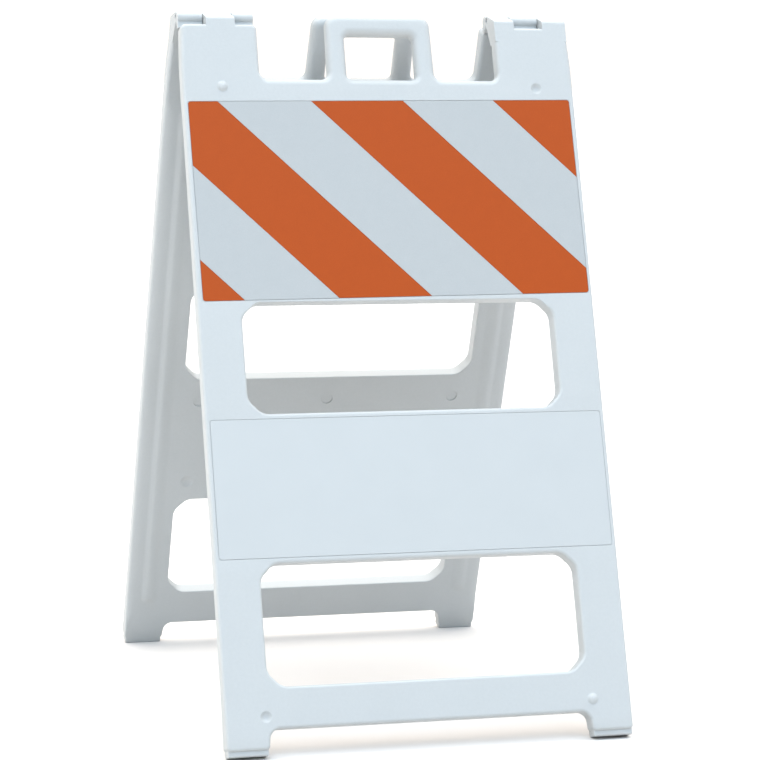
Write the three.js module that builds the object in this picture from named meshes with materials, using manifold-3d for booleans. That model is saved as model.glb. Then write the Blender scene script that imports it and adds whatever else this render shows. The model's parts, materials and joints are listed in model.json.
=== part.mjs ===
// Folding A-frame barricade: two identical moulded frames on a common hinge line.
// Millimetres, Z up. X runs across the barricade and the front frame faces -Y.
import * as THREE from 'three';
import { mergeVertices } from 'three/addons/utils/BufferGeometryUtils.js';
import Module from 'manifold-3d';

const wasm = await Module();
wasm.setup();

// Driving dimensions. A frame is drawn in its own axes: X across, Y up from the hinge axis,
// Z outward from the hinge axis, so every Y below is negative.
const LEAN = THREE.MathUtils.degToRad(19.5);
const FRAME_WIDTH = 614;
const INNER_FACE = 9;
const FRAME_DEPTH = 26;
const OUTER_FACE = INNER_FACE + FRAME_DEPTH;
const EDGE_ROUND = 4;
const GAP = 0.3;

const RAIL_TOP = -107;
const FOOT_END = -1107;
const SOLE = -1115;
const BOTTOM_RAIL_LOW = -1078;
const FOOT_INNER = 244;
const NOTCH_RADIUS = 14;

const WINDOW_HALF_WIDTH = 241;
const WINDOWS = [
  { top: -453, bottom: -620 },
  { top: -841, bottom: -1018 },
];
const WINDOW_CUT = 21;
const WINDOW_RADIUS = 23;

const TAB = { inner: 188, outer: 304, top: -22.5, taperFrom: -88 };
// The handle sits a little off the middle of the frame.
const HANDLE = { x: 3, top: -6, halfTop: 82, halfBase: 84, holeTop: -36.5, holeHalf: 54.5 };

const BARREL_RADIUS = 7.5;
const BARREL = { inner: 188, outer: 304 };
const CENTRE_KNUCKLE = { from: 221, to: 265 };
const KNUCKLE_GAP = 1.5;
const SHOULDER = { radius: 6, y: -16 };
const KNUCKLE_ROOT = -45;
const PIN_RADIUS = 4;
const PIN_INSET = 1.5;

// The striped sheeting is stuck on slightly askew.
const UPPER_SHEET = { width: 599, height: 304.8, y: -294.8, skew: THREE.MathUtils.degToRad(0.55) };
const LOWER_SHEET = { width: 600, height: 204, y: -730.4, skew: 0 };
const SHEET_THICKNESS = 0.9;
const RECESS_DEPTH = 1;
const RECESS_MARGIN = 1;
const SHEET_CORNER = 4;
const STRIPE_PITCH = 143.7;
const FIRST_STRIPE = 45;

const STACK = { x: 247, upper: -121, lower: -1060, radius: 10, rise: 4 };

// The inner face falls away towards the legs' outer edges, and a stiffening bead with a steep
// outer side runs down each leg.
const EASED_EDGE = { top: -125, bottom: -1085, width: 16, depth: 4.5 };
const BEAD = { top: -150, bottom: -1040, rise: 3, foot: 255, crest: [272, 274], outer: 282 };
const DISH = { x: 223, y: -807, radius: 18, depth: 3 };
const MARKS = [[0, -659], [-214, -659], [214, -659]];
const MARK_RADIUS = 9.5;
const MARK_DEPTH = 1.5;
const SOLE_INSET = 1.5;

// A frame stands on a narrow flat worn across the inner edge of each sole.
const SOLE_FLAT = 4;
const HINGE_HEIGHT = -(SOLE * Math.cos(LEAN) + (INNER_FACE + SOLE_FLAT) * Math.sin(LEAN));

const frameWhite = { color: 0xdde6ea, roughness: 0.5, metalness: 0 };
const sheetWhite = { color: 0xccd6dd, roughness: 0.35, metalness: 0 };
const sheetOrange = { color: 0xd05a26, roughness: 0.35, metalness: 0 };
const sheetPlain = { color: 0xdfe7ed, roughness: 0.3, metalness: 0 };
const pinSteel = { color: 0x9a9da1, roughness: 0.4, metalness: 0.9 };

// Solids

function solidOf(geometry) {
  const bare = new THREE.BufferGeometry();
  bare.setAttribute('position', geometry.getAttribute('position'));
  if (geometry.index) bare.setIndex(geometry.index);
  const merged = mergeVertices(bare, 1e-4);
  const vertProperties = new Float32Array(merged.getAttribute('position').array);
  const triVerts = new Uint32Array(merged.index.array);
  return new wasm.Manifold(new wasm.Mesh({ numProp: 3, vertProperties, triVerts }));
}

function geometryOf(solid) {
  const mesh = solid.getMesh();
  const geometry = new THREE.BufferGeometry();
  geometry.setAttribute('position', new THREE.BufferAttribute(mesh.vertProperties, 3));
  geometry.setIndex(new THREE.BufferAttribute(mesh.triVerts, 1));
  const flat = geometry.toNonIndexed();
  flat.computeVertexNormals();
  return flat;
}

function arcPoints(x, y, radius, fromDeg, toDeg, steps) {
  const points = [];
  for (let step = 0; step <= steps; step += 1) {
    const angle = THREE.MathUtils.degToRad(fromDeg + ((toDeg - fromDeg) * step) / steps);
    points.push([x + radius * Math.cos(angle), y + radius * Math.sin(angle)]);
  }
  return points;
}

// Rounds the corner at b, between a and c, with an arc of the given radius.
function roundedCorner(a, b, c, radius) {
  if (!radius) return [b];
  const corner = new THREE.Vector2(...b);
  const toA = new THREE.Vector2(...a).sub(corner).normalize();
  const toC = new THREE.Vector2(...c).sub(corner).normalize();
  const half = Math.acos(THREE.MathUtils.clamp(toA.dot(toC), -1, 1)) / 2;
  const middle = toA.clone().add(toC).normalize();
  const centre = corner.clone().addScaledVector(middle, radius / Math.sin(half));
  const start = corner.clone().addScaledVector(toA, radius / Math.tan(half)).sub(centre);
  const end = corner.clone().addScaledVector(toC, radius / Math.tan(half)).sub(centre);
  let sweep = end.angle() - start.angle();
  if (sweep > Math.PI) sweep -= 2 * Math.PI;
  if (sweep < -Math.PI) sweep += 2 * Math.PI;
  const steps = Math.max(2, Math.round(Math.abs(sweep) / THREE.MathUtils.degToRad(18)));
  const points = [];
  for (let step = 0; step <= steps; step += 1) {
    const angle = start.angle() + (sweep * step) / steps;
    points.push([centre.x + radius * Math.cos(angle), centre.y + radius * Math.sin(angle)]);
  }
  return points;
}

// corners: [x, y, radius] in order around the outline.
function roundedOutline(corners) {
  const count = corners.length;
  return corners.flatMap(([x, y, radius], index) => {
    const before = corners[(index + count - 1) % count];
    const after = corners[(index + 1) % count];
    return roundedCorner([before[0], before[1]], [x, y], [after[0], after[1]], radius);
  });
}

function pathOf(points, PathClass = THREE.Shape) {
  return new PathClass(points.map(([x, y]) => new THREE.Vector2(x, y)));
}

function rectangleOutline(halfWidth, top, bottom, radius) {
  return roundedOutline([
    [-halfWidth, bottom, radius],
    [halfWidth, bottom, radius],
    [halfWidth, top, radius],
    [-halfWidth, top, radius],
  ]);
}

function windowOutline({ top, bottom }) {
  const side = WINDOW_HALF_WIDTH;
  const right = [
    [side - WINDOW_CUT, bottom],
    [side, bottom + WINDOW_CUT],
    [side, top - WINDOW_CUT],
    [side - WINDOW_CUT, top],
  ];
  const left = right.map(([x, y]) => [-x, y]).reverse();
  return roundedOutline([...right, ...left].map(([x, y]) => [x, y, WINDOW_RADIUS]));
}

// Extrudes a section drawn as [outward, up] along X, from x = from to x = to.
function alongX(section, from, to) {
  const geometry = new THREE.ExtrudeGeometry(pathOf(section), {
    depth: to - from,
    bevelEnabled: false,
  });
  // The section's first axis becomes +Z, and the extrusion runs back along +X.
  geometry.rotateY(-Math.PI / 2).translate(to, 0, 0);
  return solidOf(geometry);
}

// Extrudes a section drawn as [across, outward] along Y, from y = from to y = to.
function alongY(section, from, to) {
  const geometry = new THREE.ExtrudeGeometry(pathOf(section.map(([x, out]) => [x, -out])), {
    depth: to - from,
    bevelEnabled: false,
  });
  return solidOf(geometry.rotateX(-Math.PI / 2).translate(0, from, 0));
}

// Frame moulding

function frameOutline() {
  const side = FRAME_WIDTH / 2;
  const right = [
    [FOOT_INNER - 3, BOTTOM_RAIL_LOW, NOTCH_RADIUS],
    [FOOT_INNER, FOOT_END, 5],
    [side, FOOT_END, 5],
    [side, TAB.taperFrom, 0],
    [TAB.outer, TAB.top, 8],
    [TAB.inner, TAB.top, 8],
    [TAB.inner, RAIL_TOP, 12],
    [HANDLE.halfBase, RAIL_TOP, 12],
    [HANDLE.halfTop, HANDLE.top, 16],
  ];
  const left = right.map(([x, y, radius]) => [-x, y, radius]).reverse();
  const onHandle = ([x]) => Math.abs(x) < TAB.inner;
  return roundedOutline([...right, ...left].map((corner) => {
    const [x, y, radius] = corner;
    return onHandle(corner) ? [x + HANDLE.x, y, radius] : corner;
  }));
}

function frameBlank() {
  const shape = pathOf(frameOutline());
  const handleHole = rectangleOutline(HANDLE.holeHalf, HANDLE.holeTop, RAIL_TOP, 8)
    .map(([x, y]) => [x + HANDLE.x, y]);
  shape.holes.push(pathOf(handleHole, THREE.Path));
  for (const window of WINDOWS) shape.holes.push(pathOf(windowOutline(window), THREE.Path));
  const geometry = new THREE.ExtrudeGeometry(shape, {
    depth: FRAME_DEPTH - 2 * EDGE_ROUND,
    bevelThickness: EDGE_ROUND,
    bevelSize: EDGE_ROUND,
    bevelOffset: -EDGE_ROUND,
    bevelSegments: 3,
  });
  return solidOf(geometry.translate(0, 0, INNER_FACE + EDGE_ROUND));
}

// The knuckle's section runs from the barrel round the hinge axis down into the tab.
function knuckleSection() {
  const shoulderZ = OUTER_FACE - SHOULDER.radius;
  const span = Math.hypot(shoulderZ, SHOULDER.y);
  const slope = Math.atan2(SHOULDER.y, shoulderZ);
  const topNormal = slope + Math.acos((BARREL_RADIUS - SHOULDER.radius) / span);
  const topDeg = THREE.MathUtils.radToDeg(topNormal);
  const rootReach = Math.hypot(INNER_FACE, KNUCKLE_ROOT);
  const rootAngle = Math.atan2(KNUCKLE_ROOT, INNER_FACE);
  const backNormal = rootAngle - Math.acos(BARREL_RADIUS / rootReach) + 2 * Math.PI;
  const backDeg = THREE.MathUtils.radToDeg(backNormal);
  return [
    [INNER_FACE + EDGE_ROUND, KNUCKLE_ROOT],
    [INNER_FACE, KNUCKLE_ROOT],
    ...arcPoints(0, 0, BARREL_RADIUS, backDeg, topDeg, 12),
    ...arcPoints(shoulderZ, SHOULDER.y, SHOULDER.radius, topDeg, 0, 5),
    [OUTER_FACE, KNUCKLE_ROOT],
  ];
}

// Takes a point of one frame's section to the same place in the other frame's section.
function inOtherFrame([outward, up]) {
  const cos = Math.cos(LEAN);
  const sin = Math.sin(LEAN);
  const reach = cos * outward - sin * up;
  const height = sin * outward + cos * up;
  return [sin * height - cos * reach, sin * reach + cos * height];
}

// The stop nose comes down on top of the other frame's tab when the legs are fully apart.
function stopSection() {
  const rest = TAB.top + GAP;
  const noseOnOtherFrame = [
    [0, 0],
    [5.5, 5],
    [12, 1],
    [17, -5],
    [17, rest],
    [6, rest],
    [0, -6],
  ];
  return noseOnOtherFrame.map(inOtherFrame).reverse();
}

function addHinges(blank) {
  const knuckles = [
    [-CENTRE_KNUCKLE.to, -CENTRE_KNUCKLE.from],
    [BARREL.inner, CENTRE_KNUCKLE.from - KNUCKLE_GAP],
    [CENTRE_KNUCKLE.to + KNUCKLE_GAP, BARREL.outer],
  ];
  let solid = blank;
  for (const [from, to] of knuckles) {
    solid = solid.add(alongX(knuckleSection(), from, to));
    solid = solid.add(alongX(stopSection(), from, to));
  }
  const bore = new THREE.CylinderGeometry(PIN_RADIUS + GAP, PIN_RADIUS + GAP, 2 * FRAME_WIDTH, 24);
  return solid.subtract(solidOf(bore.rotateZ(Math.PI / 2)));
}

function soleSection() {
  const rise = SOLE_FLAT * Math.tan(LEAN);
  const front = OUTER_FACE - 4;
  return [
    [INNER_FACE, FOOT_END + 12],
    [INNER_FACE, SOLE + rise],
    [INNER_FACE + SOLE_FLAT, SOLE],
    [front - 2, SOLE],
    [front, SOLE + 2],
    [front, FOOT_END + 12],
  ];
}

function addSoles(blank) {
  const from = FOOT_INNER + SOLE_INSET;
  const to = FRAME_WIDTH / 2 - SOLE_INSET;
  const right = alongX(soleSection(), from, to);
  const left = alongX(soleSection(), -to, -from);
  return blank.add(right).add(left);
}

// Two nubs and two dimples on the outer face let folded barricades nest when stacked.
function addStackingMarks(blank) {
  const offset = STACK.radius - STACK.rise;
  const ballAt = (x, y, z) => solidOf(
    new THREE.SphereGeometry(STACK.radius, 24, 16).translate(x, y, z),
  );
  return blank
    .add(ballAt(-STACK.x, STACK.upper, OUTER_FACE - offset))
    .add(ballAt(STACK.x, STACK.lower, OUTER_FACE - offset))
    .subtract(ballAt(STACK.x, STACK.upper, OUTER_FACE + offset))
    .subtract(ballAt(-STACK.x, STACK.lower, OUTER_FACE + offset));
}

// Turns what is drawn square on a sheet to the way the sheet sits, about the sheet's middle.
function seated(geometry, { y, skew }) {
  return geometry.translate(0, -y, 0).rotateZ(skew).translate(0, y, 0);
}

function cutRecess(blank, sheet) {
  const halfWidth = sheet.width / 2 + RECESS_MARGIN;
  const top = sheet.y + sheet.height / 2 + RECESS_MARGIN;
  const bottom = sheet.y - sheet.height / 2 - RECESS_MARGIN;
  const outline = rectangleOutline(halfWidth, top, bottom, SHEET_CORNER);
  const geometry = new THREE.ExtrudeGeometry(pathOf(outline), { depth: 5, bevelEnabled: false });
  geometry.translate(0, 0, OUTER_FACE - RECESS_DEPTH);
  return blank.subtract(solidOf(seated(geometry, sheet)));
}

// The bead of one leg, on the inner face; side is 1 for the leg at +X and -1 for the other.
function beadSolid(side) {
  const low = INNER_FACE - BEAD.rise;
  const section = [
    [BEAD.foot, INNER_FACE + 2],
    [BEAD.foot, INNER_FACE],
    [BEAD.crest[0], low],
    [BEAD.crest[1], low],
    [BEAD.outer, INNER_FACE],
    [BEAD.outer, INNER_FACE + 2],
  ];
  return alongY(section.map(([x, outward]) => [side * x, outward]), BEAD.bottom, BEAD.top);
}

// What is taken off the inner face at the outer edge of one leg.
function easedEdgeSolid(side) {
  const edge = FRAME_WIDTH / 2;
  const section = [
    [edge - EASED_EDGE.width, INNER_FACE],
    [edge + 1, INNER_FACE - 1],
    [edge + 1, INNER_FACE + EASED_EDGE.depth],
  ];
  const placed = section.map(([x, outward]) => [side * x, outward]);
  return alongY(placed, EASED_EDGE.bottom, EASED_EDGE.top);
}

function detailInnerFace(blank) {
  let solid = blank;
  const offset = DISH.radius - DISH.depth;
  for (const side of [-1, 1]) {
    const ball = new THREE.SphereGeometry(DISH.radius, 48, 32);
    const dish = solidOf(ball.translate(side * DISH.x, DISH.y, INNER_FACE - offset));
    solid = solid.add(beadSolid(side)).subtract(easedEdgeSolid(side)).subtract(dish);
  }
  for (const [x, y] of MARKS) {
    const disc = new THREE.CylinderGeometry(MARK_RADIUS, MARK_RADIUS, 2 * MARK_DEPTH, 24);
    solid = solid.subtract(solidOf(disc.rotateX(Math.PI / 2).translate(x, y, INNER_FACE)));
  }
  return solid;
}

function frameSolid() {
  let solid = addHinges(frameBlank());
  solid = addSoles(solid);
  solid = addStackingMarks(solid);
  solid = cutRecess(solid, UPPER_SHEET);
  solid = cutRecess(solid, LOWER_SHEET);
  return detailInnerFace(solid);
}

// Sheeting

function sheetSolid({ width, height, y }) {
  const outline = rectangleOutline(width / 2, y + height / 2, y - height / 2, SHEET_CORNER);
  const geometry = new THREE.ExtrudeGeometry(pathOf(outline), {
    depth: SHEET_THICKNESS,
    bevelEnabled: false,
  });
  return solidOf(geometry.translate(0, 0, OUTER_FACE - RECESS_DEPTH + GAP));
}

// Stripe boundaries fall at 45 degrees, from upper left to lower right. Each is named by
// where it crosses the sheet's top edge, measured from the sheet's left edge.
function stripeSolids() {
  const sheet = sheetSolid(UPPER_SHEET);
  const left = -UPPER_SHEET.width / 2;
  const top = UPPER_SHEET.y + UPPER_SHEET.height / 2;
  const reach = 2 * UPPER_SHEET.width;
  const stripes = [];
  for (let index = -2; index < 5; index += 1) {
    const isFirst = index === -2;
    const isLast = index === 4;
    const from = isFirst ? -reach : FIRST_STRIPE + (index - 1) * STRIPE_PITCH + GAP / 2;
    const to = isLast ? reach : FIRST_STRIPE + index * STRIPE_PITCH - GAP / 2;
    const corners = [
      [left + from, top],
      [left + to, top],
      [left + to + reach, top - reach],
      [left + from + reach, top - reach],
    ];
    const raised = corners.map(([x, y]) => [x - reach / 2, y + reach / 2]);
    const band = new THREE.ExtrudeGeometry(pathOf(raised), { depth: 40, bevelEnabled: false });
    const isOrange = index % 2 === 0;
    stripes.push({ isOrange, solid: sheet.intersect(solidOf(band)) });
  }
  return stripes;
}

// Nodes

function node(name, geometry, finish) {
  const mesh = new THREE.Mesh(geometry, new THREE.MeshStandardMaterial(finish));
  mesh.name = name;
  return mesh;
}

function hingePin(name) {
  const length = BARREL.outer - BARREL.inner - 2 * PIN_INSET;
  const geometry = new THREE.CylinderGeometry(PIN_RADIUS, PIN_RADIUS, length, 24);
  geometry.rotateZ(Math.PI / 2).translate((BARREL.inner + BARREL.outer) / 2, 0, 0);
  return node(name, geometryOf(solidOf(geometry)), pinSteel);
}

function frameGroup(side, pinName) {
  const group = new THREE.Group();
  group.add(node(`${side}_frame`, geometryOf(frameSolid()), frameWhite));
  group.add(hingePin(pinName));
  group.add(node(`${side}_lower_sheet`, geometryOf(sheetSolid(LOWER_SHEET)), sheetPlain));
  const counts = { orange: 0, white: 0 };
  for (const { isOrange, solid } of stripeSolids()) {
    const colour = isOrange ? 'orange' : 'white';
    counts[colour] += 1;
    const finish = isOrange ? sheetOrange : sheetWhite;
    const geometry = seated(geometryOf(solid), UPPER_SHEET);
    group.add(node(`${side}_${colour}_strip_${counts[colour]}`, geometry, finish));
  }
  group.position.z = HINGE_HEIGHT;
  group.rotation.x = Math.PI / 2 - LEAN;
  return group;
}

const barricade = new THREE.Group();
const rearHalf = new THREE.Group();
rearHalf.rotation.z = Math.PI;
rearHalf.add(frameGroup('rear', 'left_hinge_pin'));
barricade.add(frameGroup('front', 'right_hinge_pin'), rearHalf);

export default barricade;
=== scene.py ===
# Folding A-frame barricade: two moulded frames on a common hinge line, with striped sheeting.
import json
import math

import bmesh
import bpy
import numpy as np
from mathutils import Matrix, Vector
from mathutils.geometry import delaunay_2d_cdt


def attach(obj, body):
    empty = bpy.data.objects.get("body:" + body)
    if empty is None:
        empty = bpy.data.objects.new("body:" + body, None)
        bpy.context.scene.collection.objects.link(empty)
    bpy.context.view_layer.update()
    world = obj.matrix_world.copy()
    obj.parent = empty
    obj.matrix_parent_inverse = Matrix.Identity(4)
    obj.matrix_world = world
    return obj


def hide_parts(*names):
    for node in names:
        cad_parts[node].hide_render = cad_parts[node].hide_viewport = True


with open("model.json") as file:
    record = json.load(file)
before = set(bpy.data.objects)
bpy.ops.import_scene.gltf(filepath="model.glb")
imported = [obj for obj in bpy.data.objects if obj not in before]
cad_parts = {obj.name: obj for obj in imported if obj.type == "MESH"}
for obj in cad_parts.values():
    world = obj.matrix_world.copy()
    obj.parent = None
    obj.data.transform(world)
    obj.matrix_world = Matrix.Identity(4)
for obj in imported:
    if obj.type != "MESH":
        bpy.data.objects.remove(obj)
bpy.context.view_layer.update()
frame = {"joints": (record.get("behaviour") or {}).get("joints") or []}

# Dimensions in millimetres. They follow the CAD model's, with finer rounding and slimmer hinge
# barrels. A frame is drawn in its own axes: X across, Y up from the hinge axis and Z outward
# from the hinge axis.
MM = 0.001
LEAN = math.radians(19.5)
HINGE_HEIGHT = frame["joints"][0]["pos_m"][2]

HALF_WIDTH = 307
INNER_FACE = 9
OUTER_FACE = 35
RAIL_TOP = -107
FOOT_END = -1107
SOLE = -1115
BOTTOM_RAIL_LOW = -1078
FOOT_INNER = 244
NOTCH_TAPER = 3

WINDOW_HALF_WIDTH = 241
WINDOWS = [(-453, -620), (-841, -1018)]
WINDOW_CUT = 21
WINDOW_RADIUS = 23
TAB_INNER = 188
TAB_OUTER = 304
TAB_TOP = -22.5
TAPER_FROM = -88
HANDLE_X = 3
HANDLE_TOP = -6
HANDLE_HALF_TOP = 82
HANDLE_HALF_BASE = 84
HANDLE_HOLE_TOP = -36.5
HANDLE_HOLE_HALF = 54.5
HANDLE_HOLE_CORNER = 8
# Corner radii round the outline of a frame.
CORNER = {
    "notch": 15,
    "foot": 6.5,
    "taper": 60,
    "tab_outer": 9,
    "tab_inner": 8,
    "rail": 12,
    "grip": 16,
}

EDGE_FILLET = 4.6
INNER_FILLET = 2
CRISP_FILLET = 1.5
TAB_FILLET = 6
GRIP_FILLET = 10.5
KNUCKLE_FILLET = 0.8
SOLE_FILLET = 2
FILLET_STEPS = 6
ARC_STEP = math.radians(7.5)
EDGE_STEP = 25
# Where the grip's rounding turns into the tabs' and the plain edges', and where the upper
# window's edge turns crisp.
TAB_BLEND = 12
TOP_BLEND = 20
CRISP_BLEND = (24, 8)
# Down each leg the inner face falls away towards the outer edge.
EASED_EDGE = {"width": 19, "depth": 6, "top": -125, "bottom": -1085, "blend": 45}

BARREL_RADIUS = 6.5
BARREL_END = 304
CENTRE_KNUCKLE = (221, 265)
KNUCKLE_GAP = 0.8
SHOULDER_RADIUS = 6
SHOULDER_Y = -16
KNUCKLE_ROOT = -45
KNUCKLE_ROOT_INSET = 4
KNUCKLE_INSET = 0.03
# A stop nose, in the other frame's section: its root inside the barrel, the inner end of its
# flat underside, and its rolled front.
STOP_ROOT = (0, -6)
STOP_FLAT_FROM = 6
STOP_ROLL = {"x": 8.5, "y": -6, "radius": 8.5, "start": -55, "end": 140}
STOP_INSET = 0.05
PIN_RADIUS = 4
PIN_INSET = 1.5
PIN_CHAMFER = 0.9
BORE_HALF_LENGTH = 400
BORE_CHAMFER = 0.1
CLEARANCE = 0.3

RECESS_DEPTH = 1
# How far a sheet stands clear of its recess's floor, and proud of the face round it.
SHEET_BED = 0.1
SHEET_PROUD = 0.19
SHEET_FILLET = 0.2
# The gap round each sheet, and the rounding of its recess's rim.
UPPER_RECESS = {"margin": 0.7, "rim": 0.3}
LOWER_RECESS = {"margin": 0.35, "rim": 0.85}
SHEET_CORNER = 4
UPPER_SHEET = (299.5, -142.4, -447.2)
LOWER_SHEET = (300, -628.4, -832.4)
# The striped sheeting is stuck on slightly askew.
SHEET_SKEW = math.radians(0.55)
STRIPE_PITCH = 143.7
STRIPE_COUNT = 7
# One stripe's upper right side meets the sheet's top edge this far from its left end.
ANCHOR_STRIPE = 2
ANCHOR_REACH = 45

# Two stacking nubs and two sockets on the outer face.
NUB_X = 247
NUB_UPPER = -121
NUB_LOWER = -1060
NUB_RADIUS = 10
NUB_RISE = 4
# A dome's rings, from its flared foot up: shares of its rim's radius and of its rise.
DOME_FOOT = [(1.18, 0), (1.07, 0.025), (0.99, 0.11)]
DOME_RINGS = (0.9, 0.78, 0.64, 0.46, 0.25)

# A stiffening bead down the inner face of each leg, steeper on its outer side.
BEAD = {"top": -150, "bottom": -1040, "rise": 3, "inner": 255, "crest": 273, "outer": 286}
BEAD_END_SLOPE = 14
BEAD_CREST_HALF = 1
# A ring's corner radius, as a share of the ring's width.
BEAD_CORNER = 0.45
BEAD_STEPS = 9
# Shallow dishes and flat round marks, both sunk in the inner face.
DISH = {"x": 223, "y": -807, "radius": 18, "depth": 3}
MARKS = [(0, -659), (-214, -659), (214, -659)]
MARK_RADIUS = 9.5
MARK_DEPTH = 1.5
MARK_RIM = 0.4
# A sole is a block under the foot, cut level at its inner edge to stand flat.
SOLE_INSET = 1.5
SOLE_BACK_INSET = 0.05
SOLE_FRONT_INSET = 4
SOLE_OVERLAP = 12
SOLE_FLAT = 4
SOLE_CORNER = 2.5

SHARP_ANGLE = 30
MOULDING_SHARP_ANGLE = 32


# Outlines: lists of 2-D points. Material lies on the left of the direction of travel.

def arc(centre, radius, start, end):
    steps = max(2, round(abs(end - start) / ARC_STEP))
    angles = [start + (end - start) * step / steps for step in range(steps + 1)]
    return [centre + radius * Vector((math.cos(a), math.sin(a))) for a in angles]


def rounded_corner(before, corner, after, radius):
    if not radius:
        return [corner]
    back = (before - corner).normalized()
    ahead = (after - corner).normalized()
    half = back.angle(ahead) / 2
    centre = corner + (back + ahead).normalized() * radius / math.sin(half)
    start = corner + back * radius / math.tan(half) - centre
    end = corner + ahead * radius / math.tan(half) - centre
    from_angle = math.atan2(start.y, start.x)
    sweep = math.atan2(start.x * end.y - start.y * end.x, start.dot(end))
    return arc(centre, radius, from_angle, from_angle + sweep)


def rounded_outline(corners):
    """corners: (x, y, radius) in order round the outline."""
    places = [Vector((x, y)) for x, y, _ in corners]
    points = []
    for index, (_, _, radius) in enumerate(corners):
        after = places[(index + 1) % len(places)]
        points += rounded_corner(places[index - 1], places[index], after, radius)
    return points


def rectangle(half_width, top, bottom, radius):
    return rounded_outline([
        (-half_width, bottom, radius),
        (half_width, bottom, radius),
        (half_width, top, radius),
        (-half_width, top, radius),
    ])


def askew(points):
    """The outline turned about the middle of the upper sheet."""
    middle = Vector((0, (UPPER_SHEET[1] + UPPER_SHEET[2]) / 2))
    turn = Matrix.Rotation(SHEET_SKEW, 2)
    return [middle + turn @ (point - middle) for point in points]


def circle(x, y, radius, count=40):
    turn = 2 * math.pi / count
    return [Vector((x + radius * math.cos(turn * i), y + radius * math.sin(turn * i)))
            for i in range(count)]


def window_outline(top, bottom):
    side = WINDOW_HALF_WIDTH
    right = [
        (side - WINDOW_CUT, bottom, WINDOW_RADIUS),
        (side, bottom + WINDOW_CUT, WINDOW_RADIUS),
        (side, top - WINDOW_CUT, WINDOW_RADIUS),
        (side - WINDOW_CUT, top, WINDOW_RADIUS),
    ]
    left = [(-x, y, radius) for x, y, radius in reversed(right)]
    return rounded_outline(right + left)


def subdivided(points, step):
    """The same outline with extra points along its long edges."""
    result = []
    for index, point in enumerate(points):
        after = points[(index + 1) % len(points)]
        count = max(1, round((after - point).length / step))
        result += [point.lerp(after, i / count) for i in range(count)]
    return result


def inset(points, distances):
    """Moves every edge towards the material by the distance given at its points."""
    moved = []
    for index, point in enumerate(points):
        before = (point - points[index - 1]).normalized()
        after = (points[(index + 1) % len(points)] - point).normalized()
        normal_before = Vector((-before.y, before.x))
        normal_after = Vector((-after.y, after.x))
        share = 1 + normal_before.dot(normal_after)
        moved.append(point + (normal_before + normal_after) * distances[index] / share)
    return moved


def smooth_step(value, start, end):
    share = min(max((value - start) / (end - start), 0), 1)
    return share * share * (3 - 2 * share)


# Mesh building

def ring(bm, points, heights):
    return [bm.verts.new((p.x, p.y, h)) for p, h in zip(points, heights)]


def bridge(bm, lower, upper):
    count = len(lower)
    for i in range(count):
        j = (i + 1) % count
        bm.faces.new((lower[i], lower[j], upper[j], upper[i]))


def crossings(points, segments):
    """How many of the segments a ray along +X from each point crosses."""
    x, y = points[:, :1], points[:, 1:]
    x1, y1, x2, y2 = segments.T
    spans = (y1 > y) != (y2 > y)
    rise = np.where(y2 == y1, 1, y2 - y1)
    meets = x1 + (y - y1) / rise * (x2 - x1)
    return (spans & (meets > x)).sum(1)


def fill(bm, loops):
    """Covers the flat area that lies inside an odd number of the loops."""
    vertices = [v for loop in loops for v in loop]
    edges = []
    start = 0
    for loop in loops:
        count = len(loop)
        edges += [(start + i, start + (i + 1) % count) for i in range(count)]
        start += count
    places = [v.co.xy for v in vertices]
    _, _, triangles, origins, _, _ = delaunay_2d_cdt(places, edges, [], 0, 1e-5)
    triangles = [[origins[i][0] for i in triangle] for triangle in triangles]
    plane = np.array(places)
    segments = np.array([(*plane[a], *plane[b]) for a, b in edges])
    centres = plane[np.array(triangles)].mean(1)
    for triangle, count in zip(triangles, crossings(centres, segments)):
        if count % 2:
            bm.faces.new([vertices[i] for i in triangle])


def wall(bm, points, low, high, low_sizes, high_sizes):
    """The edge of a plate between two faces, rounded at both by (width, depth) at each point.
    Returns its loop on each face."""
    rings = []
    angles = [math.pi / 2 * step / FILLET_STEPS for step in range(FILLET_STEPS + 1)]
    for angle in angles:
        inward = [width * (1 - math.sin(angle)) for width, _ in low_sizes]
        heights = [low + depth * (1 - math.cos(angle)) for _, depth in low_sizes]
        rings.append(ring(bm, inset(points, inward), heights))
    for angle in reversed(angles):
        inward = [width * (1 - math.sin(angle)) for width, _ in high_sizes]
        heights = [high - depth * (1 - math.cos(angle)) for _, depth in high_sizes]
        rings.append(ring(bm, inset(points, inward), heights))
    for lower, upper in zip(rings, rings[1:]):
        bridge(bm, lower, upper)
    return rings[0], rings[-1]


def sunk(bm, outline, face, depth, rim):
    """A shallow flat-bottomed hollow, towards -Z for a positive depth. Returns its rim loop."""
    sign = math.copysign(1, depth)
    steps = [(-rim, 0), (-0.3 * rim, 0.3 * rim), (0, rim), (0, abs(depth))]
    rings = []
    for inward, drop in steps:
        points = inset(outline, [inward] * len(outline))
        rings.append(ring(bm, points, [face - sign * drop] * len(points)))
    for upper, lower in zip(rings, rings[1:]):
        bridge(bm, upper, lower)
    fill(bm, [rings[-1]])
    return rings[0]


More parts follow.
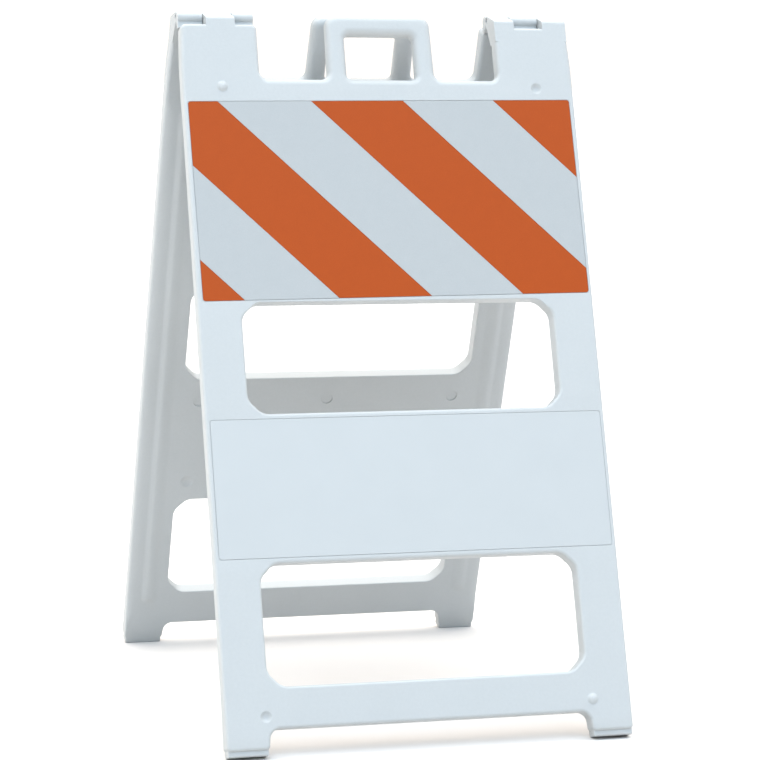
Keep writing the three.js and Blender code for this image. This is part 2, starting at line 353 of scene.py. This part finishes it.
def dome(bm, x, y, face, ball_radius, rise):
    """Part of a ball on a face, bulging towards +Z for a positive rise. Returns its loop."""
    sign = math.copysign(1, rise)
    drop = ball_radius - abs(rise)
    rim = math.sqrt(ball_radius ** 2 - drop ** 2)
    profile = [(rim * across, up * abs(rise)) for across, up in DOME_FOOT]
    for share in DOME_RINGS:
        radius = rim * share
        profile.append((radius, math.sqrt(ball_radius ** 2 - radius ** 2) - drop))
    rings = []
    for radius, height in profile:
        outline = circle(x, y, radius)
        rings.append(ring(bm, outline, [face + sign * height] * len(outline)))
    for lower, upper in zip(rings, rings[1:]):
        bridge(bm, lower, upper)
    tip = bm.verts.new((x, y, face + rise))
    last = rings[-1]
    for i in range(len(last)):
        bm.faces.new((last[i], last[(i + 1) % len(last)], tip))
    return rings[0]


def bead(bm, side):
    """The ridge on the inner face of the leg on one side, 1 or -1. Returns its loop."""
    rings = []
    for step in range(BEAD_STEPS):
        share = step / (BEAD_STEPS - 1)
        inner = BEAD["inner"] + (BEAD["crest"] - BEAD["inner"] - BEAD_CREST_HALF) * share
        outer = BEAD["outer"] + (BEAD["crest"] - BEAD["outer"] + BEAD_CREST_HALF) * share
        radius = (outer - inner) * BEAD_CORNER
        bottom = BEAD["bottom"] + BEAD_END_SLOPE * share
        top = BEAD["top"] - BEAD_END_SLOPE * share
        outline = rounded_outline([
            (inner, bottom, radius),
            (outer, bottom, radius),
            (outer, top, radius),
            (inner, top, radius),
        ])
        height = INNER_FACE - BEAD["rise"] * smooth_step(share, 0, 1)
        places = [Vector((side * point.x, point.y)) for point in outline]
        rings.append(ring(bm, places, [height] * len(places)))
    for lower, upper in zip(rings, rings[1:]):
        bridge(bm, lower, upper)
    fill(bm, [rings[-1]])
    return rings[0]


def finished_mesh(bm, name):
    bmesh.ops.recalc_face_normals(bm, faces=bm.faces)
    mesh = bpy.data.meshes.new(name)
    bm.to_mesh(mesh)
    bm.free()
    return mesh


def flat_plate(name, outline, low, high, radius):
    bm = bmesh.new()
    sizes = [(radius, radius)] * len(outline)
    bottom, top = wall(bm, outline, low, high, sizes, sizes)
    fill(bm, [bottom])
    fill(bm, [top])
    return finished_mesh(bm, name)


# Frame moulding

def frame_outline():
    right = [
        (FOOT_INNER - NOTCH_TAPER, BOTTOM_RAIL_LOW, CORNER["notch"]),
        (FOOT_INNER, FOOT_END, CORNER["foot"]),
        (HALF_WIDTH, FOOT_END, CORNER["foot"]),
        (HALF_WIDTH, TAPER_FROM, CORNER["taper"]),
        (TAB_OUTER, TAB_TOP, CORNER["tab_outer"]),
        (TAB_INNER, TAB_TOP, CORNER["tab_inner"]),
        (TAB_INNER, RAIL_TOP, CORNER["rail"]),
        (HANDLE_HALF_BASE, RAIL_TOP, CORNER["rail"]),
        (HANDLE_HALF_TOP, HANDLE_TOP, CORNER["grip"]),
    ]
    left = [(-x, y, radius) for x, y, radius in reversed(right)]
    return rounded_outline([
        (x + HANDLE_X if abs(x) < TAB_INNER else x, y, radius) for x, y, radius in right + left
    ])


def fillet_at(point, plain):
    """The grip and the tabs are rounded more than the plain edges lower down."""
    tab = smooth_step(abs(point.x), TAB_INNER - TAB_BLEND, TAB_INNER)
    top = GRIP_FILLET + (TAB_FILLET - GRIP_FILLET) * tab
    height = smooth_step(point.y, RAIL_TOP - TOP_BLEND, RAIL_TOP - 1)
    return plain + (top - plain) * height


def outer_size_at(point):
    """The sheeting comes close to the top of the upper window, so its edge is crisper there."""
    fillet = fillet_at(point, EDGE_FILLET)
    top = WINDOWS[0][0]
    if abs(point.x) < HALF_WIDTH - 1 and point.y < top + 1:
        start, end = [top - distance for distance in CRISP_BLEND]
        fillet += (CRISP_FILLET - fillet) * smooth_step(point.y, start, end)
    return fillet, fillet


def inner_size_at(point):
    """The width and depth of the rounding at the inner face, which is broad down the legs."""
    fillet = fillet_at(point, INNER_FILLET)
    if abs(point.x) < HALF_WIDTH - 0.1:
        return fillet, fillet
    blend = EASED_EDGE["blend"]
    share = smooth_step(point.y, EASED_EDGE["bottom"], EASED_EDGE["bottom"] + blend)
    share *= 1 - smooth_step(point.y, EASED_EDGE["top"] - blend, EASED_EDGE["top"])
    width = fillet + (EASED_EDGE["width"] - fillet) * share
    return width, fillet + (EASED_EDGE["depth"] - fillet) * share


def recess_outline(sheet, margin):
    half_width, top, bottom = sheet
    return rectangle(half_width + margin, top + margin, bottom - margin, SHEET_CORNER)


def frame_plate():
    bm = bmesh.new()
    handle_hole = rectangle(
        HANDLE_HOLE_HALF, HANDLE_HOLE_TOP, RAIL_TOP, HANDLE_HOLE_CORNER)
    holes = [[point + Vector((HANDLE_X, 0)) for point in handle_hole]]
    holes += [window_outline(*window) for window in WINDOWS]
    inner_loops = []
    outer_loops = []
    for points in [subdivided(frame_outline(), EDGE_STEP)] + [hole[::-1] for hole in holes]:
        inner_sizes = [inner_size_at(point) for point in points]
        outer_sizes = [outer_size_at(point) for point in points]
        inner, outer = wall(bm, points, INNER_FACE, OUTER_FACE, inner_sizes, outer_sizes)
        inner_loops.append(inner)
        outer_loops.append(outer)
    upper = recess_outline(UPPER_SHEET, UPPER_RECESS["margin"])
    lower = recess_outline(LOWER_SHEET, LOWER_RECESS["margin"])
    outer_loops.append(sunk(bm, askew(upper), OUTER_FACE, RECESS_DEPTH, UPPER_RECESS["rim"]))
    outer_loops.append(sunk(bm, lower, OUTER_FACE, RECESS_DEPTH, LOWER_RECESS["rim"]))
    for x, y, rise in (
        (-NUB_X, NUB_UPPER, NUB_RISE),
        (NUB_X, NUB_LOWER, NUB_RISE),
        (NUB_X, NUB_UPPER, -NUB_RISE),
        (-NUB_X, NUB_LOWER, -NUB_RISE),
    ):
        outer_loops.append(dome(bm, x, y, OUTER_FACE, NUB_RADIUS, rise))
    for side in (-1, 1):
        inner_loops.append(bead(bm, side))
        inner_loops.append(
            dome(bm, side * DISH["x"], DISH["y"], INNER_FACE, DISH["radius"], DISH["depth"]))
    for x, y in MARKS:
        outline = circle(x, y, MARK_RADIUS)
        inner_loops.append(sunk(bm, outline, INNER_FACE, -MARK_DEPTH, MARK_RIM))
    fill(bm, inner_loops)
    fill(bm, outer_loops)
    return finished_mesh(bm, "frame_plate")


def along_x(name, section, start, end, radius):
    """A solid with a section of [outward, up] points, from x = start to x = end."""
    mesh = flat_plate(name, section, start, end, radius)
    # Swapping the X and Z axes mirrors the mesh, so its faces are then flipped back.
    mesh.transform(Matrix(((0, 0, 1, 0), (0, 1, 0, 0), (1, 0, 0, 0), (0, 0, 0, 1))))
    mesh.flip_normals()
    return mesh


def knuckle_section():
    """From the barrel round the hinge axis down into the tab."""
    outer = OUTER_FACE - KNUCKLE_INSET
    shoulder = Vector((outer - SHOULDER_RADIUS, SHOULDER_Y))
    slope = math.atan2(shoulder.y, shoulder.x)
    top = slope + math.acos((BARREL_RADIUS - SHOULDER_RADIUS) / shoulder.length)
    inner = INNER_FACE + KNUCKLE_INSET
    root = Vector((inner, KNUCKLE_ROOT))
    back = math.atan2(root.y, root.x) - math.acos(BARREL_RADIUS / root.length)
    section = [Vector((inner + KNUCKLE_ROOT_INSET, KNUCKLE_ROOT)), root]
    section += arc(Vector((0, 0)), BARREL_RADIUS, back + 2 * math.pi, top)
    section += arc(shoulder, SHOULDER_RADIUS, top, 0)
    section.append(Vector((outer, KNUCKLE_ROOT)))
    return section[::-1]


def in_other_frame(point):
    """Takes a point of one frame's section to the same place in the other frame's section."""
    cos, sin = math.cos(LEAN), math.sin(LEAN)
    reach = cos * point.x - sin * point.y
    height = sin * point.x + cos * point.y
    return Vector((sin * height - cos * reach, sin * reach + cos * height))


def stop_section():
    """The stop nose comes down on top of the other frame's tab when the legs are fully apart."""
    rest = TAB_TOP + CLEARANCE
    centre = Vector((STOP_ROLL["x"], STOP_ROLL["y"]))
    start = math.radians(STOP_ROLL["start"])
    roll = arc(centre, STOP_ROLL["radius"], start, math.radians(STOP_ROLL["end"]))
    nose = [Vector(STOP_ROOT), Vector((STOP_FLAT_FROM, rest)), Vector((roll[0].x, rest))] + roll
    return [in_other_frame(point) for point in nose][::-1]


def sole_section():
    front = OUTER_FACE - SOLE_FRONT_INSET
    back = INNER_FACE + SOLE_BACK_INSET
    root = FOOT_END + SOLE_OVERLAP
    rise = SOLE_FLAT * math.tan(LEAN)
    return rounded_outline([
        (front, root, 0),
        (back, root, 0),
        (back, SOLE + rise, 0),
        (INNER_FACE + SOLE_FLAT, SOLE, 0),
        (front, SOLE, SOLE_CORNER),
    ])


def link(name, mesh):
    obj = bpy.data.objects.new(name, mesh)
    bpy.context.scene.collection.objects.link(obj)
    return obj


def combine(base, tools, operation):
    """base joined with, or cut by, all the tools. Returns a mesh and removes the objects."""
    group = bpy.data.collections.new("tools")
    for tool in tools:
        group.objects.link(tool)
    cut = base.modifiers.new("combine", "BOOLEAN")
    cut.operation = operation
    cut.operand_type = "COLLECTION"
    cut.collection = group
    cut.solver = "EXACT"
    result = bpy.data.meshes.new_from_object(
        base.evaluated_get(bpy.context.evaluated_depsgraph_get()))
    for obj in (base, *tools):
        bpy.data.objects.remove(obj)
    bpy.data.collections.remove(group)
    return result


def frame_mesh():
    base = link("plate", frame_plate())
    additions = []
    knuckles = [
        (-CENTRE_KNUCKLE[1], -CENTRE_KNUCKLE[0]),
        (TAB_INNER, CENTRE_KNUCKLE[0] - KNUCKLE_GAP),
        (CENTRE_KNUCKLE[1] + KNUCKLE_GAP, BARREL_END),
    ]
    for start, end in knuckles:
        additions.append(along_x("knuckle", knuckle_section(), start, end, KNUCKLE_FILLET))
        additions.append(along_x("stop", stop_section(), start + STOP_INSET, end - STOP_INSET,
                                 KNUCKLE_FILLET))
    for start, end in (
        (FOOT_INNER + SOLE_INSET, HALF_WIDTH - SOLE_INSET),
        (SOLE_INSET - HALF_WIDTH, -FOOT_INNER - SOLE_INSET),
    ):
        additions.append(along_x("sole", sole_section(), start, end, SOLE_FILLET))
    whole = combine(base, [link("addition", mesh) for mesh in additions], "UNION")
    hole = circle(0, 0, PIN_RADIUS + CLEARANCE)
    bore = flat_plate("bore", hole, -BORE_HALF_LENGTH, BORE_HALF_LENGTH, BORE_CHAMFER)
    bore.transform(Matrix.Rotation(math.pi / 2, 4, "Y"))
    return combine(link("whole", whole), [link("bore", bore)], "DIFFERENCE")


# Sheeting

def clipped(points, normal, limit):
    """The part of a convex outline where its distance along the normal is under the limit."""
    kept = []
    for index, point in enumerate(points):
        previous = points[index - 1]
        before = previous.dot(normal) - limit
        here = point.dot(normal) - limit
        if before * here < 0:
            kept.append(previous.lerp(point, before / (before - here)))
        if here <= 0:
            kept.append(point)
    return kept


def stripe_outlines():
    """Stripes fall at 45 degrees from upper left to lower right."""
    half_width, top, bottom = UPPER_SHEET
    sheet = rectangle(half_width, top, bottom, SHEET_CORNER)
    across = Vector((1, 1))
    anchor = -half_width + top + ANCHOR_REACH
    outlines = []
    for index in range(STRIPE_COUNT):
        outline = sheet
        if index:
            start = anchor + (index - ANCHOR_STRIPE - 1) * STRIPE_PITCH + CLEARANCE / 2
            outline = clipped(outline, -across, -start)
        if index < STRIPE_COUNT - 1:
            end = anchor + (index - ANCHOR_STRIPE) * STRIPE_PITCH - CLEARANCE / 2
            outline = clipped(outline, across, end)
        outlines.append(askew(outline))
    return outlines


def sheet_mesh(outline):
    low = OUTER_FACE - RECESS_DEPTH + SHEET_BED
    return flat_plate("sheet", outline, low, OUTER_FACE + SHEET_PROUD, SHEET_FILLET)


def pin_mesh():
    length = BARREL_END - TAB_INNER - 2 * PIN_INSET
    middle = (BARREL_END + TAB_INNER) / 2
    section = circle(0, 0, PIN_RADIUS, 64)
    mesh = flat_plate("pin", section, -length / 2, length / 2, PIN_CHAMFER)
    turn = Matrix.Rotation(math.pi / 2, 4, "Y")
    mesh.transform(Matrix.Translation((middle, 0, 0)) @ turn)
    return mesh


# Materials

def node(tree, kind, inputs=None, **settings):
    made = tree.nodes.new(kind)
    for key, value in settings.items():
        setattr(made, key, value)
    for key, value in (inputs or {}).items():
        if isinstance(value, bpy.types.NodeSocket):
            tree.links.new(value, made.inputs[key])
        else:
            made.inputs[key].default_value = value
    return made


def noise(tree, coords, scale, detail=2.0, roughness=0.5):
    made = node(tree, "ShaderNodeTexNoise", {
        "Vector": coords, "Scale": scale, "Detail": detail, "Roughness": roughness})
    return made.outputs["Fac"]


def remap(tree, value, low, high, to_low, to_high):
    made = node(tree, "ShaderNodeMapRange", {
        "Value": value, "From Min": low, "From Max": high, "To Min": to_low, "To Max": to_high})
    return made.outputs["Result"]


def mix(tree, share, first, second):
    made = node(tree, "ShaderNodeMix", data_type="RGBA")
    for key, value in ((0, share), (6, first), (7, second)):
        if isinstance(value, bpy.types.NodeSocket):
            tree.links.new(value, made.inputs[key])
        else:
            made.inputs[key].default_value = value
    return made.outputs[2]


def bump(tree, height, strength, distance, normal=None):
    inputs = {"Height": height, "Strength": strength, "Distance": distance}
    if normal:
        inputs["Normal"] = normal
    return node(tree, "ShaderNodeBump", inputs).outputs["Normal"]


def new_material(name):
    material = bpy.data.materials.new(name)
    material.use_nodes = True
    tree = material.node_tree
    shader = tree.nodes["Principled BSDF"]
    coords = node(tree, "ShaderNodeTexCoord").outputs["Object"]
    return material, tree, shader, coords


def link_inputs(tree, shader, **sockets):
    for key, socket in sockets.items():
        tree.links.new(socket, shader.inputs[key.replace("_", " ")])


def moulded_plastic():
    """White polyethylene with a fine moulded grain, a cloudy mottle and dusty soles."""
    material, tree, shader, coords = new_material("moulded_plastic")
    mottle = noise(tree, coords, 260, 4, 0.6)
    cloud = noise(tree, coords, 11, 3)
    colour = mix(tree, mottle, (0.405, 0.43, 0.44, 1), (0.45, 0.475, 0.485, 1))
    colour = mix(tree, remap(tree, cloud, 0.3, 0.7, 0, 0.16), colour, (0.385, 0.41, 0.42, 1))
    height = node(tree, "ShaderNodeSeparateXYZ", {"Vector": coords}).outputs["Z"]
    low = remap(tree, height, 0.035, 0, 0, 0.45)
    dust = node(tree, "ShaderNodeMath", {0: low, 1: noise(tree, coords, 90, 5, 0.65)},
                operation="MULTIPLY").outputs[0]
    colour = mix(tree, dust, colour, (0.36, 0.355, 0.34, 1))
    grain = noise(tree, coords, 1400, 2)
    peel = noise(tree, coords, 170, 2)
    normal = bump(tree, peel, 0.25, 0.0006)
    normal = bump(tree, grain, 0.2, 0.0002, normal)
    roughness = remap(tree, mottle, 0.3, 0.7, 0.42, 0.56)
    link_inputs(tree, shader, Base_Color=colour, Roughness=roughness, Normal=normal)
    shader.inputs["Subsurface Weight"].default_value = 0.06
    shader.inputs["Subsurface Radius"].default_value = (1, 1, 1)
    shader.inputs["Subsurface Scale"].default_value = 0.003
    return material


def reflective_sheeting(name, light, dark):
    """Glass-beaded film under a clear top coat."""
    material, tree, shader, coords = new_material(name)
    beads = node(tree, "ShaderNodeTexVoronoi", {"Vector": coords, "Scale": 1500.0})
    fleck = remap(tree, beads.outputs["Distance"], 0.1, 0.6, 0, 1)
    blotch = noise(tree, coords, 60, 4, 0.6)
    colour = mix(tree, fleck, dark, light)
    colour = mix(tree, remap(tree, blotch, 0.35, 0.75, 0, 0.22), colour, dark)
    normal = bump(tree, noise(tree, coords, 30, 2), 0.12, 0.0008)
    normal = bump(tree, beads.outputs["Distance"], 0.06, 0.0001, normal)
    roughness = remap(tree, blotch, 0.3, 0.7, 0.3, 0.42)
    link_inputs(tree, shader, Base_Color=colour, Roughness=roughness, Normal=normal)
    shader.inputs["Specular IOR Level"].default_value = 0.15
    shader.inputs["Coat Weight"].default_value = 0.06
    shader.inputs["Coat Roughness"].default_value = 0.2
    return material


def smooth_vinyl():
    material, tree, shader, coords = new_material("smooth_vinyl")
    cloud = noise(tree, coords, 14, 3)
    speck = noise(tree, coords, 600, 2)
    colour = mix(tree, cloud, (0.415, 0.44, 0.45, 1), (0.435, 0.46, 0.47, 1))
    colour = mix(tree, remap(tree, speck, 0.4, 0.8, 0, 0.12), colour, (0.385, 0.41, 0.425, 1))
    normal = bump(tree, noise(tree, coords, 22, 2), 0.1, 0.001)
    roughness = remap(tree, speck, 0.3, 0.7, 0.28, 0.36)
    link_inputs(tree, shader, Base_Color=colour, Roughness=roughness, Normal=normal)
    shader.inputs["Coat Weight"].default_value = 0.15
    return material


def zinc_steel():
    material, tree, shader, coords = new_material("zinc_steel")
    stretched = node(tree, "ShaderNodeMapping", {"Vector": coords, "Scale": (40, 1, 1)})
    streak = noise(tree, stretched.outputs["Vector"], 60, 4)
    colour = mix(tree, streak, (0.42, 0.43, 0.45, 1), (0.62, 0.63, 0.64, 1))
    roughness = remap(tree, streak, 0.3, 0.7, 0.3, 0.5)
    normal = bump(tree, streak, 0.1, 0.0001)
    link_inputs(tree, shader, Base_Color=colour, Roughness=roughness, Normal=normal)
    shader.inputs["Metallic"].default_value = 1
    return material


# Assembly

def in_row_frame(side):
    """Takes a frame's own axes to those of the whole barricade, both in metres."""
    tilt = Matrix.Rotation(math.pi / 2 - LEAN, 4, "X")
    placed = Matrix.Translation((0, 0, HINGE_HEIGHT)) @ tilt
    turn = math.pi if side == "rear" else 0
    return Matrix.Rotation(turn, 4, "Z") @ placed


def shade(mesh, angle):
    mesh.shade_smooth()
    mesh.set_sharp_from_angle(angle=math.radians(angle))


def place(name, mesh, side, node_name, material):
    mesh.transform(in_row_frame(side))
    obj = link(name, mesh)
    mesh.materials.clear()
    mesh.materials.append(material)
    weighted = obj.modifiers.new("weighted_normals", "WEIGHTED_NORMAL")
    weighted.keep_sharp = True
    weighted.weight = 100
    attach(obj, side)
    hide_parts(node_name)


def to_metres(mesh):
    mesh.transform(Matrix.Scale(MM, 4))
    return mesh


def build_half(side, moulding, pin_name, finishes):
    place(f"{side}_moulding", moulding.copy(), side, f"{side}_frame", finishes["frame"])
    pin = to_metres(pin_mesh())
    shade(pin, SHARP_ANGLE)
    place(f"{pin_name}_rod", pin, side, pin_name, finishes["pin"])
    half_width, top, bottom = LOWER_SHEET
    lower = to_metres(sheet_mesh(rectangle(half_width, top, bottom, SHEET_CORNER)))
    shade(lower, SHARP_ANGLE)
    place(f"{side}_lower_film", lower, side, f"{side}_lower_sheet",
          finishes["sheet_plain"])
    counts = {"orange": 0, "white": 0}
    for index, outline in enumerate(stripe_outlines()):
        colour = "white" if index % 2 else "orange"
        counts[colour] += 1
        strip = to_metres(sheet_mesh(outline))
        shade(strip, SHARP_ANGLE)
        name = f"{side}_{colour}_strip_{counts[colour]}"
        slot = f"sheet_{colour}"
        place(f"{name}_film", strip, side, name, finishes[slot])


finishes = {
    "frame": moulded_plastic(),
    "sheet_white": reflective_sheeting(
        "white_sheeting", (0.378, 0.40, 0.41, 1), (0.328, 0.352, 0.366, 1)),
    "sheet_orange": reflective_sheeting(
        "orange_sheeting", (0.358, 0.061, 0.005, 1), (0.306, 0.049, 0.004, 1)),
    "sheet_plain": smooth_vinyl(),
    "pin": zinc_steel(),
}
moulding = to_metres(frame_mesh())
shade(moulding, MOULDING_SHARP_ANGLE)
build_half("front", moulding, "right_hinge_pin", finishes)
build_half("rear", moulding, "left_hinge_pin", finishes)


# Studio

FLOOR_RADIUS = 40
FLOOR_DROP = 0.0005
# Brightness of the surroundings: all round, straight overhead, and added at the horizon.
SIDE_STRENGTH = 0.53
ZENITH_STRENGTH = 4.15
HORIZON_BOOST = 0.55


def make_floor():
    bm = bmesh.new()
    bmesh.ops.create_circle(bm, cap_ends=True, radius=FLOOR_RADIUS, segments=96)
    obj = link("floor", finished_mesh(bm, "floor"))
    obj.location.z = -FLOOR_DROP
    material, tree, shader, coords = new_material("pale_floor")
    shade_noise = noise(tree, coords, 3, 3)
    colour = mix(tree, shade_noise, (0.67, 0.645, 0.625, 1), (0.69, 0.665, 0.645, 1))
    link_inputs(tree, shader, Base_Color=colour)
    shader.inputs["Roughness"].default_value = 0.9
    shader.inputs["Specular IOR Level"].default_value = 0.1
    obj.data.materials.append(material)


def make_world():
    """Pale surroundings, brightest overhead, and cooler from the upper front."""
    world = bpy.data.worlds.new("studio")
    bpy.context.scene.world = world
    world.use_nodes = True
    tree = world.node_tree
    coords = node(tree, "ShaderNodeTexCoord").outputs["Generated"]
    direction = node(tree, "ShaderNodeSeparateXYZ", {"Vector": coords}).outputs
    ceiling = remap(tree, direction["Z"], 0.3, 1, SIDE_STRENGTH, ZENITH_STRENGTH)
    horizon = remap(tree, direction["Z"], 0.02, 0.08, HORIZON_BOOST, 0)
    strength = node(tree, "ShaderNodeMath", {0: ceiling, 1: horizon}, operation="ADD").outputs[0]
    product = node(tree, "ShaderNodeMath", {0: direction["Y"], 1: direction["Z"]},
                   operation="MULTIPLY").outputs[0]
    upper_front = remap(tree, product, -0.12, -0.42, 0, 1)
    colour = mix(tree, upper_front, (1.02, 0.985, 0.945, 1), (0.68, 0.862, 1.05, 1))
    background = tree.nodes["Background"]
    tree.links.new(colour, background.inputs["Color"])
    tree.links.new(strength, background.inputs["Strength"])


def make_light(name, place_at, target, size, power, colour):
    data = bpy.data.lights.new(name, "AREA")
    data.color = colour
    data.shape = "DISK"
    data.size = size
    data.energy = power
    obj = bpy.data.objects.new(name, data)
    bpy.context.scene.collection.objects.link(obj)
    obj.location = place_at
    aim = Vector(target) - Vector(place_at)
    obj.rotation_euler = aim.to_track_quat("-Z", "Y").to_euler()


# Where the camera stands, in metres, and how it is aimed.
CAMERA_PLACE = (-1.16915, -4.17038, 1.04724)
CAMERA_YAW = math.radians(15.976)
CAMERA_PITCH = math.radians(-7.353)
CAMERA_ROLL = math.radians(0.828)
CAMERA_LENS = 132.58


def make_camera():
    cos_pitch = math.cos(CAMERA_PITCH)
    forward = Vector((math.sin(CAMERA_YAW) * cos_pitch, math.cos(CAMERA_YAW) * cos_pitch,
                      math.sin(CAMERA_PITCH)))
    level = Vector((math.cos(CAMERA_YAW), -math.sin(CAMERA_YAW), 0))
    above = level.cross(forward)
    right = level * math.cos(CAMERA_ROLL) + above * math.sin(CAMERA_ROLL)
    up = right.cross(forward)
    data = bpy.data.cameras.new("camera")
    data.lens = CAMERA_LENS
    data.clip_start = 0.1
    data.clip_end = 200
    obj = bpy.data.objects.new("camera", data)
    bpy.context.scene.collection.objects.link(obj)
    axes = Matrix((right, up, -forward)).transposed().to_4x4()
    obj.matrix_world = Matrix.Translation(CAMERA_PLACE) @ axes
    bpy.context.scene.camera = obj


make_floor()
make_world()
make_light("key", place_at=(-1.6, -3.2, 3.6), target=(0, 0, 0.6), size=2.2, power=16,
           colour=(0.66, 0.9, 1))
make_light("side", place_at=(-5, 0.2, 0.9), target=(0, 0, 0.5), size=1.6, power=50,
           colour=(1, 0.98, 0.95))
make_camera()
bpy.context.scene.view_settings.view_transform = "Standard"
